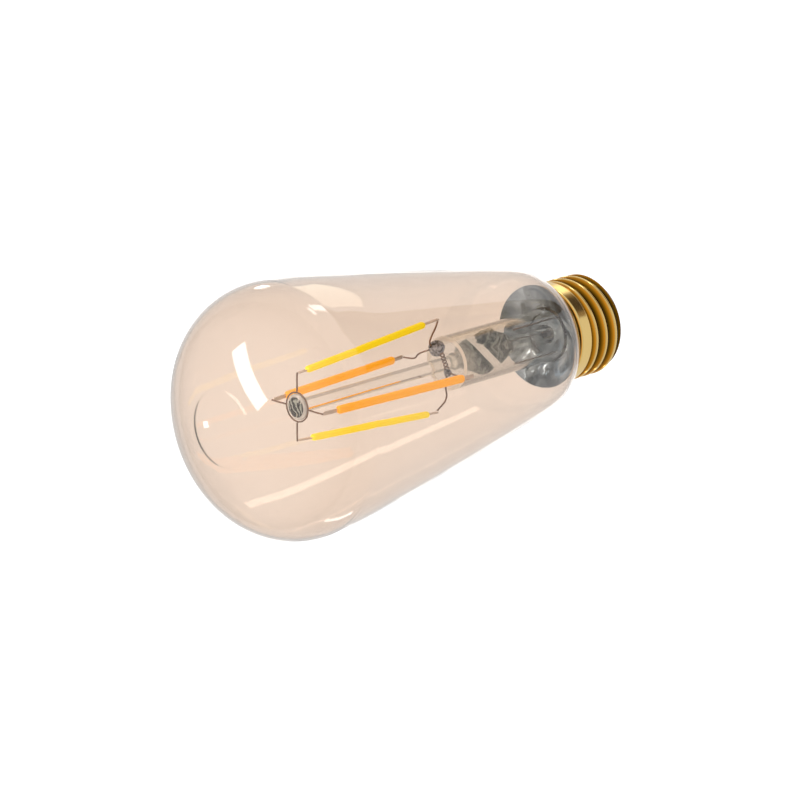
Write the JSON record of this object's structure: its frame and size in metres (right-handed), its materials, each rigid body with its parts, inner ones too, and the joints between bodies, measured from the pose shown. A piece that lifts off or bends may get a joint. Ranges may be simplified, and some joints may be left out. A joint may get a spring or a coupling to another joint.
{
  "type": "smart light bulb",
  "caption": "Pear-shaped amber glass filament bulb on a brass screw cap, with warm and cool LED filaments on a glass stem and a radio driver in the cap.",
  "frame": {"origin": "centre of the flat tip of the centre contact, at the end of the screw cap", "axes": "+Z along the bulb axis, from the cap to the dome; +X through the side that faces the viewer in the reference view"},
  "size_m": [0.064, 0.064, 0.1387],
  "materials": {
    "amber_glass": "gloss",
    "clear_glass": "gloss",
    "bead_glass": "gloss",
    "neck_shield": "gloss",
    "brass": "satin",
    "tin_plate": "satin",
    "black_glass": "gloss",
    "cap_cement": "matt",
    "stem_wire": "satin",
    "filament_tab": "satin",
    "cool_phosphor": "matt",
    "warm_phosphor": "matt",
    "circuit_board": "gloss",
    "chip_package": "matt",
    "antenna_ceramic": "matt",
    "capacitor_can": "satin",
    "ferrite": "matt",
    "copper_wire": "enamelled",
    "resistor_coat": "gloss",
    "red_insulation": "matt",
    "blue_insulation": "matt",
    "sleeve_plastic": "matt"
  },
  "bodies": {
    "root": {"base_wire_1": "stem_wire", "base_wire_2": "stem_wire", "base_wire_3": "stem_wire", "base_wire_4": "stem_wire", "bridge_rectifier": "chip_package", "cap_cement": "cap_cement", "cap_insulator": "black_glass", "centre_contact": "tin_plate", "chip_antenna": "antenna_ceramic", "driver_board": "circuit_board", "driver_chip": "chip_package", "exhaust_tube": "clear_glass", "filament_1": "warm_phosphor", "filament_2": "cool_phosphor", "filament_3": "warm_phosphor", "filament_4": "cool_phosphor", "filament_tab_base_1": "filament_tab", "filament_tab_base_2": "filament_tab", "filament_tab_base_3": "filament_tab", "filament_tab_base_4": "filament_tab", "filament_tab_hub_1": "filament_tab", "filament_tab_hub_2": "filament_tab", "filament_tab_hub_3": "filament_tab", "filament_tab_hub_4": "filament_tab", "fusible_resistor": "resistor_coat", "glass_bead_lower": "bead_glass", "glass_bead_upper": "bead_glass", "glass_envelope": "amber_glass", "hub_button": "clear_glass", "hub_ring": "stem_wire", "hub_wire_1": "stem_wire", "hub_wire_2": "stem_wire", "hub_wire_3": "stem_wire", "hub_wire_4": "stem_wire", "inductor_core": "ferrite", "inductor_winding": "copper_wire", "insulating_sleeve": "sleeve_plastic", "live_wire": "red_insulation", "neck_shield": "neck_shield", "neutral_wire": "blue_insulation", "radio_board": "circuit_board", "radio_chip": "chip_package", "screw_shell": "brass", "smoothing_capacitor": "capacitor_can", "stem_flare": "clear_glass", "stem_lead_common": "stem_wire", "stem_lead_cool": "stem_wire", "stem_lead_warm": "stem_wire", "stem_press": "clear_glass", "stem_washer": "neck_shield", "support_rod": "clear_glass", "switch_cool": "chip_package", "switch_warm": "chip_package", "twisted_jumper": "stem_wire"}
  },
  "joints": []
}
